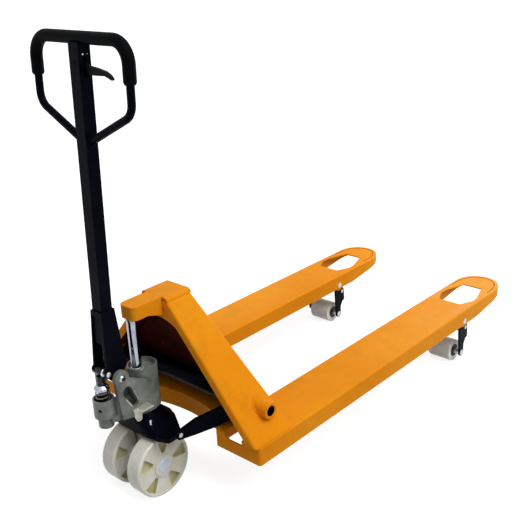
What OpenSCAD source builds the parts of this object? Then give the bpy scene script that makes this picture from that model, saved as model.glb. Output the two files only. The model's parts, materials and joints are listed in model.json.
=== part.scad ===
// Hand pallet jack, shown with the forks raised. X runs toward the fork tips, Z is up, and the floor is Z = 0.

/* [Forks] */
// Length of the forks from the front plate to the tips
fork_length = 1314; // [1200:1:1450]
// Width of one fork
fork_width = 160; // [155:1:175]
// Width over both forks
overall_width = 685; // [670:1:720]
// Height of the fork tops with the frame raised
raised_height = 200; // [198:1:206]
// Depth of the fork skirts
skirt_depth = 52; // [50:1:54]
// Length of the rounded nose
nose_length = 124; // [110:1:140]
// Thickness of the pressed plate
plate_t = 4; // [3:0.5:5]
// Outer radius of the fork edges
fork_edge_r = 6; // [5:1:8]
// Radius of the forks' front corners
fork_corner_r = 8; // [6:1:10]

/* [Frame] */
// Rise of the head above the fork tops
head_rise = 343; // [335:1:352]
// Width of the head
head_width = 102; // [96:1:110]
// Thickness of the head and horn plate
head_t = 5; // [4:0.5:6]
// Depth of the skirt along the head's sides
head_skirt = 12; // [10:1:14]
// Place of the head's front edge behind the fork front plates
head_front_x = -10; // [-12:1:-8]
// Length of the head at the top
head_length = 86; // [80:1:92]
// Length of the legs at the fork tops
leg_foot_length = 145; // [142:1:150]
// Outer radius of the leg bends
bend_r = 8; // [6:1:10]
// Depth of the leg flanges
leg_flange = 25; // [20:1:28]
// Length of the horn in front of the head
horn_length = 96; // [94:1:104]
// Width of the horn
horn_width = 61; // [58:1:68]
// Corner radius of the horn
horn_corner_r = 18; // [14:1:20]
// Depth of the horn at its front
horn_depth = 37; // [34:1:38]
// Depth of the horn where it meets the legs
horn_root_depth = 53; // [50:1:58]

/* [Lifting linkage] */
// Place of the rocker shaft behind the fork front plates
rocker_x = 76; // [74:1:78]
// Rise of the rocker shaft above the fork tops
rocker_rise = 66; // [64:1:68]
// Diameter of the rocker shaft
rocker_shaft_d = 27.9; // [26:0.1:30]
// Diameter of the rocker tube
rocker_tube_d = 50; // [48:1:52]
// Forward reach of the rocker arms
arm_reach = 144; // [142:1:146]
// Height of the pins at the front end of the rocker arms
seat_pin_z = 190; // [189:1:191]
// Thickness of the rocker arms
arm_t = 12; // [10:1:14]
// Radius from the rocker shaft to the push rod pins
lug_r = 88; // [86:1:90]
// Lean of the rocker lugs behind straight down
lug_angle = 20.8; // [20:0.1:21.5]
// Diameter of the push rod pins and seat pins
clevis_pin_d = 14; // [12:1:15]
// Diameter of the load rollers
roller_d = 74; // [70:1:76]
// Length of the load rollers
roller_length = 80; // [76:1:84]
// Distance from the fork tips to the roller link pivots
link_pivot_back = 292; // [285:1:300]
// Depth of the roller link pivots below the fork tops
link_pivot_drop = 40; // [38:1:42]
// Radius from the link pivot to the push rod pin
link_arm_r = 45.2; // [43:0.1:47]
// Lean of that radius in front of straight down
link_arm_angle = 36; // [35:0.5:37]

/* [Pump and wheels] */
// Diameter of the steer wheels
wheel_d = 180; // [176:1:182]
// Width of a steer wheel
wheel_width = 50; // [46:1:52]
// Gap between the two steer wheels
wheel_gap = 54; // [52:1:58]
// Place of the steering axis in front of the fork front plates
steer_x = -91; // [-92:1:-90]
// Trail of the wheel axle
wheel_trail = 6; // [3:1:10]
// Diameter of the piston rod
rod_d = 28; // [25:1:29]
// Diameter of the pump jacket
jacket_d = 80; // [76:1:82]
// Height of the jacket rim
jacket_rim_z = 366; // [360:1:370]
// Diameter of the plunger barrel
barrel_d = 56; // [54:1:60]
// Diameter of the plunger
plunger_d = 20; // [18:1:21]
// Diameter of the plunger spring wire
spring_wire_d = 4; // [3:0.5:4]

/* [Drawbar] */
// Distance from the drawbar pivot to the top bar of the handle
drawbar_length = 836; // [780:1:900]
// Lean of the drawbar at rest
drawbar_lean = 2.73; // [2:0.01:3.5]
// Depth of the drawbar tube, front to back
drawbar_depth = 34; // [30:1:35]
// Width of the drawbar tube
drawbar_width = 35; // [30:1:36]
// Wall of the drawbar tube
drawbar_wall = 3; // [2:0.5:4]
// Width of the handle loop between tube centres
loop_width = 342; // [320:1:360]
// Diameter of the handle tube
loop_tube_d = 19; // [17:1:21]
// Diameter of the grip sleeve
grip_d = 30; // [28:1:33]
// Diameter of the drawbar pivot pin
pivot_pin_d = 16; // [14:1:18]

/* [Hidden] */
$fn = 48;

// Clearances
pin_fit = 0.05;        // radial, pins and shafts in their bores
weld_fit = 0.1;        // around pieces that are welded in
running_gap = 0.3;     // between faces that turn past each other
side_gap = 1;          // beside links and lugs

// Forks
fork_y = (overall_width - fork_width) / 2;
fork_half = fork_width / 2;
skirt_z = raised_height - skirt_depth;
land_z = raised_height - 0.3;
nose_x = fork_length - nose_length;
toe_rise_x = nose_x - 90;
link_pivot_x = fork_length - link_pivot_back;
link_pivot_z = raised_height - link_pivot_drop;
link_pin_d = 20;

// Frame
head_z = raised_height + head_rise;
leg_top_z = head_z - head_skirt;
leg_foot_y = overall_width / 2 - 2;
leg_run = leg_foot_y - head_width / 2;
leg_drop = leg_top_z - raised_height;
leg_angle = atan(leg_drop / leg_run);
leg_length = norm([leg_run, leg_drop]);
head_rear_x = head_front_x + head_length;
leg_rear_x = head_front_x + leg_foot_length;
rear_slant = atan((leg_rear_x - head_rear_x) / leg_length);
rear_lean = atan((leg_rear_x - head_rear_x) / leg_drop);
horn_front_x = head_front_x - horn_length;
horn_z = head_z - horn_depth;

// Rocker
rocker_z = raised_height + rocker_rise;
boss_d = 44;
boss_y = [fork_y - 0.5, fork_y + 55.5];
lug_t = 14;
lug_y = [fork_y - 27.5, fork_y - 27.5 + lug_t];
lug_end_x = rocker_x + lug_r * sin(lug_angle);
lug_end_z = rocker_z - lug_r * cos(lug_angle);
seat_pin_x = rocker_x - arm_reach;
arm_end_y = 116;
arm_end_w = 16;
seat_ear_y = arm_end_y - arm_end_w / 2 - side_gap;
pin_hub_r = clevis_pin_d / 2 + 7;

// Pump, steering and wheels
wheel_r = wheel_d / 2;
axle_x = steer_x - wheel_trail;
axle_z = wheel_r;
axle_d = 20;
seat_z = [seat_pin_z - 3, seat_pin_z + 9];
dome_z = seat_z[1] + 42;
bearing_z = dome_z - 4;
casting_z = dome_z + 5;
kingpin_r = 22;
kingpin_z = 126;
jacket_x = steer_x + 17;
barrel_x = steer_x - 117;
barrel_z = [274, 325];
barrel_floor_z = 285;
pivot_x = steer_x - 82;
pivot_z = 378;
ear_y = [31, 43];
rod_top_z = horn_z - 6;
rod_bottom_z = 250;
plunger_top_z = pivot_z + 11;
cap_z = [350, 364];

// Drawbar
shaft_off = -10.9;
yoke_z = [405, 562];
push_roller_x = pivot_x - 31;
push_roller_z = pivot_z + 22;
push_roller_d = 22;
trigger_z = drawbar_length - 52;

// Roller links
link_foot_x = link_pivot_x + 5;
link_foot_z = roller_d / 2;
link_y = 62;
link_t = 6;
rod_pin_x = link_pivot_x + link_arm_r * sin(link_arm_angle);
rod_pin_z = link_pivot_z - link_arm_r * cos(link_arm_angle);

// The floor point midway between the foremost and rearmost points is the origin
front_x = barrel_x - barrel_d / 2;
shift_x = -(front_x + fork_length) / 2;
module place() translate([shift_x, 0, 0]) children();
module left() place() children();
module right() place() mirror([0, 1, 0]) children();

// A round bar along Y from y0 to y1
module bar_y(x, z, d, y0, y1) translate([x, y1, z]) rotate([90, 0, 0]) cylinder(d = d, h = y1 - y0);
// An outline in X and Z, given thickness along Y
module plate_xz(y0, y1) translate([0, y1, 0]) rotate([90, 0, 0]) linear_extrude(y1 - y0) children();
// An outline in Y and Z, given thickness along X
module plate_yz(x0, x1) translate([x0, 0, 0]) rotate([90, 0, 90]) linear_extrude(x1 - x0) children();

// Two round ends joined by their tangents, which stand just inside the rounds so that the shapes cross
module tapered_web(p, r, q, s) {
    inside = 0.01;
    a = atan2(q[1] - p[1], q[0] - p[0]);
    b = acos((r - s) / norm(q - p));
    up = [cos(a + b), sin(a + b)];
    down = [cos(a - b), sin(a - b)];
    polygon([p + (r - inside) * up, q + (s - inside) * up, q + (s - inside) * down, p + (r - inside) * down]);
}
module tapered_link(p, r, q, s) {
    translate(p) circle(r);
    translate(q) circle(s);
    tapered_web(p, r, q, s);
}

// ---- Forks
function nose_half(half, length, u) = half * sqrt(1 - pow(u, 3));
module fork_outline(inset) {
    half = fork_half - inset;
    length = nose_length - inset;
    steps = 14;
    nose = [for (i = [0:steps]) let(u = 1 - pow(1 - i / steps, 2)) [nose_x + length * u, nose_half(half, length, u)]];
    back = [for (i = [1:steps]) let(p = nose[steps - i]) [p[0], -p[1]]];
    r = fork_corner_r;
    front = inset == 0 ? concat([for (a = [270:-15:180]) [r + r * cos(a), r - half + r * sin(a)]],
        [for (a = [180:-15:90]) [r + r * cos(a), half - r + r * sin(a)]]) : [[-1, -half], [-1, half]];
    polygon(concat(front, nose, back));
}

// Flat top with rounded edges above straight sides
module edge_section(half, top, bottom, r) intersection() {
    union() {
        for (s = [-1, 1]) translate([s * (half - r), top - r]) circle(r);
        translate([-(half - r), top - r]) square([2 * (half - r), r]);
        translate([-half, bottom - 1]) square([2 * half, top - bottom - r + 1]);
    }
    translate([-half, bottom]) square([2 * half, top - bottom]);
}

// Toe cut-out over the load roller
module toe_window() {
    x0 = link_pivot_x + 32;
    polygon([[x0, -40], [x0 + 46, -61], [x0 + 76, -61], [x0 + 158, -34],
        [x0 + 158, 34], [x0 + 76, 61], [x0 + 46, 61], [x0, 40]]);
}

module fork() {
    lug_low = skirt_z - 5;
    front_t = plate_t + 1;
    slot_y = [28.5 - fork_half, fork_half - 62.5];
    slot_length = 128;
    translate([0, fork_y, 0]) difference() {
        union() {
            difference() {
                intersection() {
                    translate([0, 0, skirt_z]) linear_extrude(skirt_depth) fork_outline(0);
                    plate_yz(-1, fork_length + 1) edge_section(fork_half, raised_height, skirt_z - 1, fork_edge_r);
                }
                intersection() {
                    translate([0, 0, skirt_z - 1]) linear_extrude(skirt_depth + 1 - plate_t) fork_outline(plate_t);
                    plate_yz(-1, fork_length + 1) edge_section(fork_half - plate_t, raised_height - plate_t,
                        skirt_z - 2, fork_edge_r - plate_t);
                }
                // Skirt rises toward the toe
                plate_xz(-fork_width, fork_width) polygon([[toe_rise_x, skirt_z - 1], [toe_rise_x, skirt_z],
                    [nose_x + 40, skirt_z + 17], [fork_length + 1, skirt_z + 27], [fork_length + 1, skirt_z - 1]]);
            }
            // Front plate
            intersection() {
                translate([0, plate_t - fork_half, skirt_z]) cube([front_t, fork_width - 2 * plate_t, skirt_depth - plate_t]);
                translate([0, 0, skirt_z]) linear_extrude(skirt_depth) fork_outline(0);
            }
            // Doublers round the link pivots
            for (s = [-1, 1]) translate([0, s * (fork_half - plate_t - 3), 0]) plate_xz(-3, 3)
                tapered_link([link_pivot_x, link_pivot_z], 22, [link_pivot_x, lug_low + 20], 20);
        }
        translate([0, 0, raised_height - 2 * plate_t]) linear_extrude(3 * plate_t) toe_window();
        // Shallow land under the foot of the leg, so that the load face ahead of it is clear
        translate([-1, -fork_width, land_z]) cube([leg_rear_x + 11, 2 * fork_width, plate_t]);
        // Slot for the rocker lug, open at the front through a notch in the front plate
        translate([front_t, slot_y[0], raised_height - 2 * plate_t]) cube([slot_length, slot_y[1] - slot_y[0], 3 * plate_t]);
        plate_yz(-1, front_t + 1) polygon([[slot_y[0] + 7, raised_height + 1], [slot_y[0] + 7, raised_height - 11],
            [slot_y[0] + 23, raised_height - 16], [slot_y[1], raised_height - 16], [slot_y[1], raised_height + 1]]);
        bar_y(link_pivot_x, link_pivot_z, link_pin_d + 4 * pin_fit, -fork_width, fork_width);
    }
}
module fork_left() color("orange") left() fork();
module fork_right() color("orange") right() fork();

// ---- Welded frame
module bend_section(depth) difference() {
    union() {
        translate([bend_r, -bend_r]) circle(bend_r);
        translate([0, -depth]) square([plate_t, depth - bend_r]);
    }
    translate([bend_r, -bend_r]) circle(bend_r - plate_t);
    translate([bend_r, -2 * bend_r]) square([2 * bend_r, 3 * bend_r]);
    translate([plate_t, -3 * bend_r]) square([2 * bend_r, 2 * bend_r]);
}
module leg_flat() {
    over = 40;
    seam = 0.02;    // the flat reaches this far into its bends
    edge = bend_r / cos(rear_slant) - seam;
    front = head_front_x + bend_r - seam;
    creep = over * tan(rear_slant);
    translate([0, 0, -plate_t]) linear_extrude(plate_t) polygon([[front, -over],
        [head_rear_x - edge - creep, -over], [leg_rear_x - edge + creep, leg_length + over],
        [front, leg_length + over]]);
    translate([head_front_x, leg_length + over, 0]) rotate([90, 0, 0]) linear_extrude(leg_length + 2 * over)
        bend_section(leg_flange);
    translate([head_rear_x, 0, 0]) rotate([0, 0, -rear_slant]) translate([0, leg_length + 2 * over, 0])
        rotate([90, 0, 0]) linear_extrude(leg_length + 4 * over) mirror([1, 0]) bend_section(leg_flange);
}
module leg() difference() {
    intersection() {
        translate([0, head_width / 2, leg_top_z]) rotate([-leg_angle, 0, 0]) leg_flat();
        translate([-fork_length, 0, land_z]) cube([2 * fork_length, overall_width, leg_top_z - land_z]);
    }
    bar_y(rocker_x, rocker_z, boss_d + 2 * weld_fit, 0, overall_width);
}
module leg_left() color("orange") left() leg();
module leg_right() color("orange") right() leg();

module head_plate() color("orange") place() plate_yz(head_front_x, head_rear_x) difference() {
    edge_section(head_width / 2, head_z, leg_top_z, head_skirt);
    edge_section(head_width / 2 - head_t, head_z - head_t, leg_top_z - 1, head_skirt - head_t);
}

module horn_outline(inset) {
    r = horn_corner_r;
    for (s = [-1, 1]) translate([horn_front_x + r, s * (horn_width / 2 - r)]) circle(r - inset);
    translate([horn_front_x + inset, r - horn_width / 2]) square([r, horn_width - 2 * r]);
    translate([horn_front_x + r, inset - horn_width / 2]) square([horn_length - r, horn_width - 2 * inset]);
}
module horn() color("orange") place() difference() {
    translate([0, 0, head_z - horn_root_depth]) linear_extrude(horn_root_depth) horn_outline(0);
    translate([0, 0, head_z - horn_root_depth - 1]) linear_extrude(horn_root_depth + 1 - head_t) horn_outline(head_t);
    plate_xz(-horn_width, horn_width) polygon([[horn_front_x - 1, horn_z], [horn_front_x + 48, horn_z],
        [head_front_x, head_z - horn_root_depth], [horn_front_x - 1, head_z - horn_root_depth]]);
}

// Hardened pad that the piston rod pushes up on, with an oblong recess for the rod's domed tip
pad_z = [horn_z - 6, horn_z + 12];
rod_tip_d = 10;
recess_x = [steer_x - 7, steer_x + 3];
module thrust_pad() color("dimgray") place() difference() {
    union() {
        translate([0, 0, horn_z]) linear_extrude(pad_z[1] - horn_z) intersection() {
            horn_outline(head_t + weld_fit);
            translate([horn_front_x, -horn_width / 2]) square([68, horn_width]);
        }
        translate([steer_x - 2, 0, pad_z[0]]) cylinder(d = 27, h = horn_z - pad_z[0]);
    }
    translate([0, 0, pad_z[0] - 1]) linear_extrude(7) {
        for (x = recess_x) translate([x, 0]) circle(d = rod_tip_d + 1.2);
        translate([recess_x[0], -rod_tip_d / 2 - 0.6]) square([recess_x[1] - recess_x[0], rod_tip_d + 1.2]);
    }
}

// Half width between the legs at height z, clear of their bends
function inner_y(z) = head_width / 2 + (leg_top_z - z) / tan(leg_angle) - (bend_r + 0.2) / sin(leg_angle);
module between_legs(z0, z1) polygon([[-inner_y(z0), z0], [inner_y(z0), z0], [inner_y(z1), z1], [-inner_y(z1), z1]]);

module front_gusset() color("darkorange") place() plate_yz(head_front_x + plate_t, head_front_x + plate_t + 5)
    difference() {
        arch_r = 150;
        union() {
            between_legs(head_z - 113, leg_top_z);
            translate([-inner_y(leg_top_z), leg_top_z]) square([2 * inner_y(leg_top_z), head_skirt - head_t - 0.7]);
        }
        translate([0, head_z - 64 - arch_r]) circle(arch_r, $fn = 96);
    }

// Rear web between the legs' rear flanges
module back_plate() color("darkorange") place() intersection() {
    translate([head_rear_x - plate_t - 3.2, 0, leg_top_z]) rotate([0, -rear_lean, 0])
        translate([-plate_t, -overall_width / 2, -2 * leg_drop]) cube([plate_t, overall_width, 3 * leg_drop]);
    plate_yz(head_front_x, leg_rear_x) between_legs(raised_height, leg_top_z);
}

module cross_outline(inset, rear) difference() {
    translate([54 + inset, -(fork_y - fork_half)]) square([leg_rear_x + rear - 54 - inset, 2 * (fork_y - fork_half)]);
    translate([-387, 0]) circle(458 + inset, $fn = 180);
}
module cross_plate() color("orange") place() difference() {
    translate([0, 0, skirt_z]) linear_extrude(skirt_depth) cross_outline(0, 3);
    translate([0, 0, skirt_z - 1]) linear_extrude(skirt_depth + 1 - plate_t) cross_outline(plate_t, 3 - plate_t);
}

module pivot_boss() difference() {
    bar_y(rocker_x, rocker_z, boss_d, boss_y[0], boss_y[1]);
    bar_y(rocker_x, rocker_z, rocker_shaft_d + 2 * pin_fit, boss_y[0] - 1, boss_y[1] + 1);
}
module pivot_boss_left() color("orange") left() pivot_boss();
module pivot_boss_right() color("orange") right() pivot_boss();

// ---- Rocker
shaft_end_y = boss_y[1] - 22;
tube_end_y = lug_y[0] - weld_fit;
module rocker_shaft() color("dimgray") place() bar_y(rocker_x, rocker_z, rocker_shaft_d, -shaft_end_y, shaft_end_y);
module rocker_tube() color("#16161f") place() difference() {
    bar_y(rocker_x, rocker_z, rocker_tube_d, -tube_end_y, tube_end_y);
    bar_y(rocker_x, rocker_z, rocker_shaft_d + 2 * weld_fit, -tube_end_y - 1, tube_end_y + 1);
}

module rocker_arm() {
    root = [rocker_x, tube_end_y - 6];
    tip = [seat_pin_x, arm_end_y];
    run = norm(tip - root);
    drop = rocker_z - seat_pin_z;
    turn = atan2(tip[1] - root[1], tip[0] - root[0]);
    difference() {
        union() {
            translate([root[0], root[1], 0]) rotate([0, 0, turn]) plate_xz(-arm_t / 2, arm_t / 2) polygon([
                [14, rocker_z + 25], [run * 0.35, rocker_z - drop * 0.35 + 17], [run * 0.75, rocker_z - drop * 0.75 + 21],
                [run - 6, seat_pin_z + pin_hub_r], [run, seat_pin_z], [run - 6, seat_pin_z - pin_hub_r],
                [run * 0.75, seat_pin_z - 5], [run * 0.4, raised_height + 3], [run * 0.2, raised_height + 20],
                [14, rocker_z - 25]]);
            bar_y(seat_pin_x, seat_pin_z, 2 * pin_hub_r, arm_end_y - arm_end_w / 2, arm_end_y + arm_end_w / 2);
        }
        bar_y(rocker_x, rocker_z, rocker_tube_d + 2 * weld_fit, 0, overall_width);
        bar_y(seat_pin_x, seat_pin_z, clevis_pin_d + 2 * pin_fit, 0, overall_width);
        // Faces past the seat ears stay clear
        translate([seat_pin_x - 40, 0, seat_pin_z - 40]) cube([80, arm_end_y - arm_end_w / 2, 80]);
    }
}
module rocker_arm_left() color("#16161f") left() rocker_arm();
module rocker_arm_right() color("#16161f") right() rocker_arm();

module rocker_lug() difference() {
    union() {
        plate_xz(lug_y[0], lug_y[1]) tapered_web([rocker_x, rocker_z], 27, [lug_end_x, lug_end_z], pin_hub_r);
        bar_y(rocker_x, rocker_z, 54, lug_y[0], lug_y[1]);
        bar_y(lug_end_x, lug_end_z, 2 * pin_hub_r, lug_y[0], lug_y[1]);
    }
    bar_y(rocker_x, rocker_z, rocker_shaft_d + 2 * weld_fit, 0, overall_width);
    bar_y(lug_end_x, lug_end_z, clevis_pin_d + 2 * pin_fit, 0, overall_width);
}
module rocker_lug_left() color("#16161f") left() rocker_lug();
module rocker_lug_right() color("#16161f") right() rocker_lug();

cheek_t = 7;
module push_rod_pins() color("silver") for (s = [-1, 1]) place() scale([1, s, 1])
    bar_y(lug_end_x, lug_end_z, clevis_pin_d, lug_y[0] - side_gap - cheek_t - 1, lug_y[1] + side_gap + cheek_t + 1);

// ---- Turntable seat under the pump
module seat_half() polygon([[steer_x - 40, 0], [steer_x - 39, 50], [steer_x - 33, 96], [steer_x - 20, 126],
    [seat_pin_x - pin_hub_r - 3, 126], [seat_pin_x - pin_hub_r - 3, seat_ear_y],
    [seat_pin_x + pin_hub_r, seat_ear_y], [seat_pin_x + 26, 88], [steer_x + 76, 43], [steer_x + 87, 12],
    [steer_x + 88, 0]]);
// Foot of the dome, as half outline
dome_foot = [[steer_x - 40, 0], [steer_x - 39, 50], [steer_x - 34, 90], [seat_pin_x + 6, 93], [seat_pin_x + 26, 86],
    [steer_x + 75, 43], [steer_x + 86, 12], [steer_x + 87, 0]];
nipple_base = [steer_x - 22, -61, dome_z - 27];
bearing_d = 76;
dome_r = bearing_d / 2 + 5;
dome_wall = 9;
module dome(inset) hull() {
    for (s = [0, 1]) mirror([0, s, 0]) translate([0, 0, seat_z[0] - 1]) linear_extrude(seat_z[1] - seat_z[0] + 1 - inset)
        offset(delta = -inset) polygon(dome_foot);
    translate([steer_x, 0, dome_z - 1 - inset]) cylinder(r = dome_r - inset, h = 1, $fn = 48);
}
module seat_plate() color("#16161f") place() difference() {
    union() {
        difference() {
            union() {
                for (s = [0, 1]) mirror([0, s, 0]) {
                    translate([0, 0, seat_z[0]]) linear_extrude(seat_z[1] - seat_z[0]) seat_half();
                    bar_y(seat_pin_x, seat_pin_z, 2 * pin_hub_r, seat_ear_y - 11, seat_ear_y);
                }
                dome(0);
            }
            dome(dome_wall);
            translate([steer_x, 0, 0]) cylinder(r = overall_width, h = seat_z[0]);
        }
        translate([steer_x, 0, seat_z[0]]) cylinder(r = kingpin_r + 8, h = dome_z - seat_z[0] - 1);
    }
    translate([steer_x, 0, seat_z[0] - 1]) cylinder(r = kingpin_r + 0.1, h = 80);
    translate([steer_x, 0, bearing_z]) cylinder(d = bearing_d + 2 * weld_fit, h = 10);
    for (s = [0, 1]) mirror([0, s, 0])
        bar_y(seat_pin_x, seat_pin_z, clevis_pin_d + 2 * pin_fit, seat_ear_y - 14, seat_ear_y + 1);
    translate(nipple_base) cylinder(d = 8.2, h = 30);
}
module seat_pins() color("silver") for (s = [-1, 1]) place() scale([1, s, 1])
    bar_y(seat_pin_x, seat_pin_z, clevis_pin_d, seat_ear_y - 13, arm_end_y + arm_end_w / 2 + 2);
module grease_nipple() color("silver") place() translate(nipple_base) {
    cylinder(d = 8, h = 18);
    translate([0, 0, 18]) sphere(d = 6);
}
module thrust_bearing() color("gray") place() translate([steer_x, 0, bearing_z]) difference() {
    cylinder(d = bearing_d, h = casting_z - bearing_z - running_gap);
    translate([0, 0, -1]) cylinder(r = kingpin_r + 1, h = 10);
}

// ---- Hydraulic pump
module casting_side() {
    difference() {
        union() {
            polygon([[pivot_x - 21, pivot_z - 4], [pivot_x - 17, pivot_z - 58], [pivot_x - 10, pivot_z - 116],
                [steer_x - 14, casting_z], [jacket_x, casting_z], [jacket_x, pivot_z - 46],
                [steer_x - 27, pivot_z - 26], [pivot_x + 20, pivot_z - 6]]);
            translate([pivot_x, pivot_z]) circle(22);
        }
        tapered_link([pivot_x + 12, pivot_z - 43], 15, [pivot_x + 33, pivot_z - 87], 10);
    }
}
module pump_casting() color("#5f645c") place() difference() {
    union() {
        translate([jacket_x, 0, casting_z]) cylinder(d = jacket_d, h = jacket_rim_z - casting_z);
        translate([steer_x, 0, kingpin_z]) cylinder(r = kingpin_r, h = casting_z - kingpin_z + 1);
        translate([barrel_x, 0, barrel_z[0]]) cylinder(d = barrel_d, h = barrel_z[1] - barrel_z[0]);
        translate([barrel_x, 0, 244]) cylinder(d = 40, h = barrel_z[0] - 244 + 1);
        for (s = [0, 1]) mirror([0, s, 0]) plate_xz(ear_y[0], ear_y[1]) casting_side();
        // Floor and bridge between the two cheeks
        plate_xz(-ear_y[0] - 0.5, ear_y[0] + 0.5) polygon([[barrel_x, 276], [barrel_x, 262], [pivot_x - 8, 258],
            [steer_x - 14, casting_z], [jacket_x, casting_z], [jacket_x, 276]]);
        translate([pivot_x - 18, -ear_y[0] - 0.5, 262]) cube([14, 2 * ear_y[0] + 1, 50]);
    }
    // Cup above the gland, bore for the piston rod, pocket for the spring
    translate([jacket_x, 0, jacket_rim_z - 14]) cylinder(d = jacket_d - 8, h = 15);
    translate([steer_x, 0, kingpin_z + 4]) cylinder(d = rod_d + 2 * pin_fit, h = jacket_rim_z);
    difference() {
        translate([barrel_x, 0, barrel_floor_z]) cylinder(d = barrel_d - 8, h = 60);
        translate([barrel_x, 0, barrel_floor_z - 1]) cylinder(d = 27, h = 16);
    }
    translate([barrel_x, 0, 246]) cylinder(d = plunger_d + 2 * pin_fit, h = 80);
    bar_y(pivot_x, pivot_z, pivot_pin_d + 2 * pin_fit, -ear_y[1] - 1, ear_y[1] + 1);
    // Valve hole in the front of the barrel
    translate([barrel_x, 0, 300]) rotate([0, -90, 30]) cylinder(d = 10, h = barrel_d);
    bar_y(lever_x, lever_z, 8 + 2 * pin_fit, -ear_y[1] - 1, -ear_y[0] + 6);
}
gland_z = jacket_rim_z - 14;
module gland_ring() color("gray") place() translate([steer_x, 0, gland_z]) difference() {
    union() {
        cylinder(d = rod_d + 7, h = 7);
        cylinder(d = rod_d + 4, h = 13);
    }
    translate([0, 0, -1]) cylinder(d = rod_d + 2 * pin_fit, h = 20);
}
module piston_rod() color("gainsboro") place() translate([steer_x, 0, 0]) {
    translate([0, 0, rod_bottom_z]) cylinder(d = rod_d, h = rod_top_z - running_gap - rod_bottom_z);
    translate([0, 0, rod_top_z - 1]) cylinder(d = rod_tip_d, h = 5.5);
}
module plunger() color("silver") place() translate([barrel_x, 0, barrel_floor_z + 7])
    cylinder(d = plunger_d, h = plunger_top_z - running_gap - barrel_floor_z - 7);
module spring_cap() color("silver") place() translate([barrel_x, 0, 0]) difference() {
    union() {
        translate([0, 0, cap_z[0]]) cylinder(d = 40, h = 7);
        translate([0, 0, cap_z[0] + 7]) cylinder(d1 = 40, d2 = 26, h = cap_z[1] - cap_z[0] - 7);
    }
    translate([0, 0, cap_z[0] - 1]) cylinder(d = plunger_d + 2 * weld_fit, h = 30);
}
// Coil spring swept along its helix
spring_turns = 5;
spring_wire_r = spring_wire_d / 2;
spring_coil_r = 17;
spring_z0 = barrel_floor_z + spring_wire_r + 0.2;
spring_rise = cap_z[0] - spring_wire_r - 0.2 - spring_z0;
steps_per_turn = 16;
wire_sides = 8;
function spring_point(i, k) = let(
        a = 360 * i / steps_per_turn,
        b = 360 * k / wire_sides,
        q = spring_coil_r + spring_wire_r * cos(b))
    [q * cos(a), q * sin(a), spring_z0 + spring_rise * i / (spring_turns * steps_per_turn) + spring_wire_r * sin(b)];
module plunger_spring() color("#9a9a9a") place() translate([barrel_x, 0, 0]) {
    count = spring_turns * steps_per_turn;
    sides = wire_sides;
    polyhedron(
        points = [for (i = [0:count]) for (k = [0:sides - 1]) spring_point(i, k)],
        faces = concat([[for (k = [0:sides - 1]) k]],
            [for (i = [0:count - 1]) for (k = [0:sides - 1]) let(n = (k + 1) % sides)
                [i * sides + k, (i + 1) * sides + k, (i + 1) * sides + n, i * sides + n]],
            [[for (k = [sides - 1:-1:0]) count * sides + k]]));
}

module drawbar_pivot_pin() color("silver") place() {
    bar_y(pivot_x, pivot_z, pivot_pin_d, -ear_y[1] - 1, ear_y[1] + 1);
    for (s = [0, 1]) mirror([0, s, 0]) translate([pivot_x, ear_y[1] + 0.5, pivot_z]) rotate([-90, 0, 0])
        cylinder(d1 = pivot_pin_d + 5, d2 = pivot_pin_d - 2, h = 5);
}

// Foot-operated lowering lever, linked to the hand trigger
lever_x = steer_x - 30;
lever_z = casting_z + 26;
module release_lever() color("silver") place() difference() {
    union() {
        plate_xz(-ear_y[1] - 6, -ear_y[1] - 1) polygon([[lever_x - 33, lever_z + 7], [lever_x + 10, lever_z + 7],
            [lever_x + 9, lever_z - 8], [lever_x - 7, lever_z - 14], [lever_x - 8, lever_z - 29],
            [lever_x - 14, lever_z - 34], [lever_x - 22, lever_z - 32], [lever_x - 27, lever_z - 22]]);
        // Foot plate
        translate([lever_x - 20, -ear_y[1] - 27, lever_z + 3]) cube([37, 26, 4]);
    }
    bar_y(lever_x, lever_z, 8 + 2 * pin_fit, -ear_y[1] - 30, 0);
}
module release_lever_pin() color("silver") place()
    bar_y(lever_x, lever_z, 8, -ear_y[1] - 8, -ear_y[0] + 5);

// ---- Steer wheels
wheel_y = wheel_gap / 2;
carrier_half = wheel_y - 3;
module axle_carrier() color("#16161f") place() difference() {
    union() {
        translate([steer_x, 0, axle_z + 12]) cylinder(r = kingpin_r, h = kingpin_z - axle_z - 12);
        plate_xz(-carrier_half, carrier_half) tapered_link([axle_x, axle_z], 20, [steer_x, kingpin_z - 14], 14);
    }
    bar_y(axle_x, axle_z, axle_d + 2 * pin_fit, -wheel_width, wheel_width);
}
axle_end_y = wheel_y + wheel_width - 8;
module steer_axle() color("silver") place() bar_y(axle_x, axle_z, axle_d, -axle_end_y, axle_end_y);

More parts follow.
